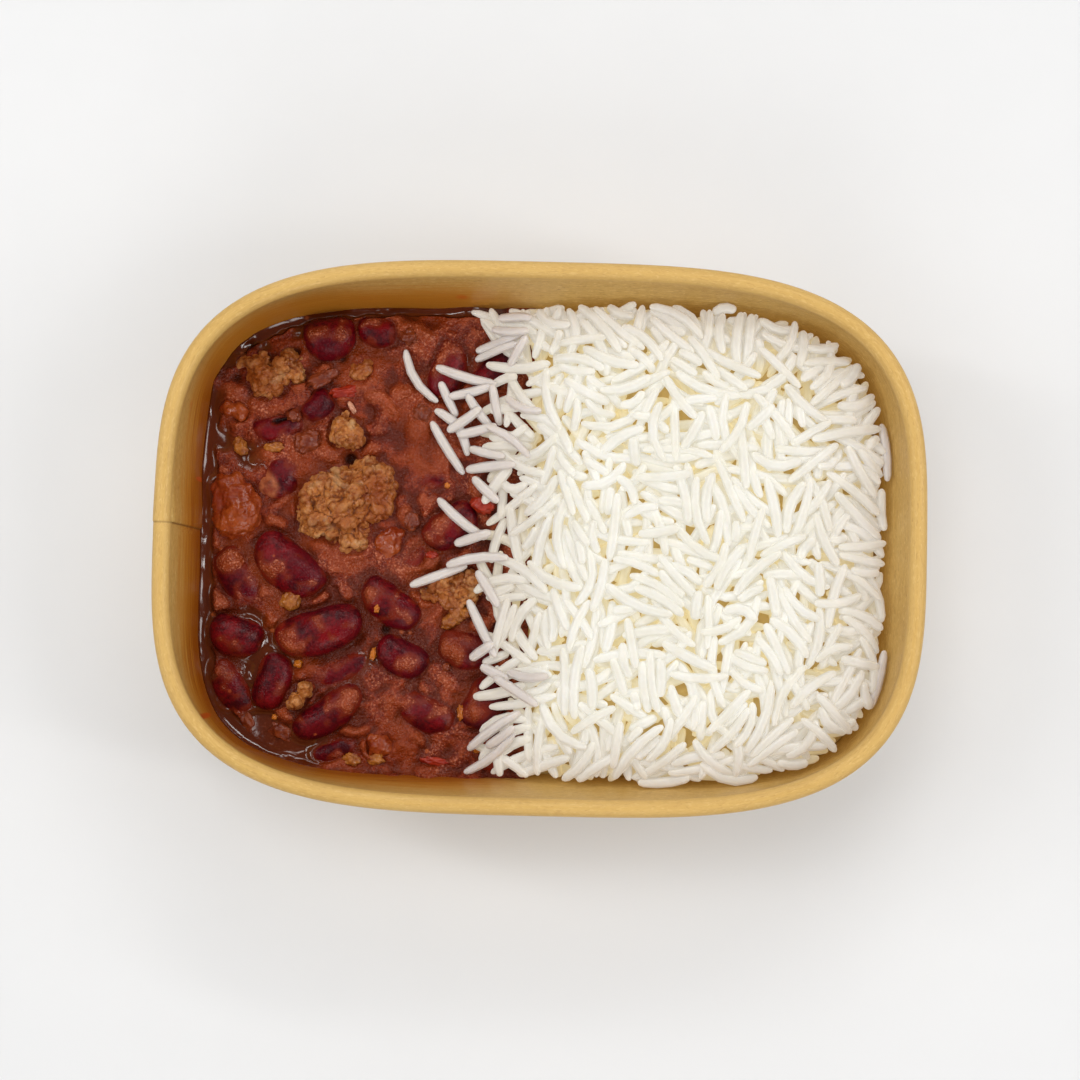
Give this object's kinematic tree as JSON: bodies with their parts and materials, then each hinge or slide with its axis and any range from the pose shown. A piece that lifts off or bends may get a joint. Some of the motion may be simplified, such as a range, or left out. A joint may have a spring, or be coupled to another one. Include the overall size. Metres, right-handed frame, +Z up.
{
  "type": "chili con carne with rice in a paper food tub",
  "caption": "Open kraft paper food tub with rounded corners and a rolled rim, filled with chili con carne on one side and a heap of long-grain rice on the other.",
  "frame": {"origin": "middle of the tub's foot, on the surface that it stands on", "axes": "+X along the tub from the chili to the rice, +Z up out of its open top"},
  "size_m": [0.172, 0.1234, 0.055],
  "materials": {
    "kraft_board": "uncoated kraft board with a thin clear lining, slightly glossy inside",
    "chili_sauce": "wet, oily red-brown tomato sauce",
    "kidney_bean": "smooth, wet bean skin",
    "mince": "crumbly browned mince, moist",
    "tomato": "soft, wet tomato",
    "rice": "boiled white rice, slightly moist"
  },
  "bodies": {
    "root": {"bean_01": "kidney_bean", "bean_02": "kidney_bean", "bean_03": "kidney_bean", "bean_04": "kidney_bean", "bean_05": "kidney_bean", "bean_06": "kidney_bean", "bean_07": "kidney_bean", "bean_08": "kidney_bean", "bean_09": "kidney_bean", "bean_10": "kidney_bean", "bean_11": "kidney_bean", "bean_12": "kidney_bean", "bean_13": "kidney_bean", "bean_14": "kidney_bean", "bean_15": "kidney_bean", "bean_16": "kidney_bean", "bean_17": "kidney_bean", "bean_18": "kidney_bean", "bean_19": "kidney_bean", "bean_20": "kidney_bean", "bean_21": "kidney_bean", "bean_22": "kidney_bean", "bean_23": "kidney_bean", "bean_24": "kidney_bean", "bean_25": "kidney_bean", "bean_26": "kidney_bean", "bean_27": "kidney_bean", "chili_sauce": "chili_sauce", "mince_1": "mince", "mince_2": "mince", "mince_3": "mince", "mince_4": "mince", "mince_5": "mince", "mince_6": "mince", "rice_heap": "rice", "tomato_1": "tomato", "tomato_2": "tomato", "tomato_3": "tomato", "tomato_4": "tomato", "tub_base": "kraft_board", "tub_wall": "kraft_board"}
  },
  "joints": []
}
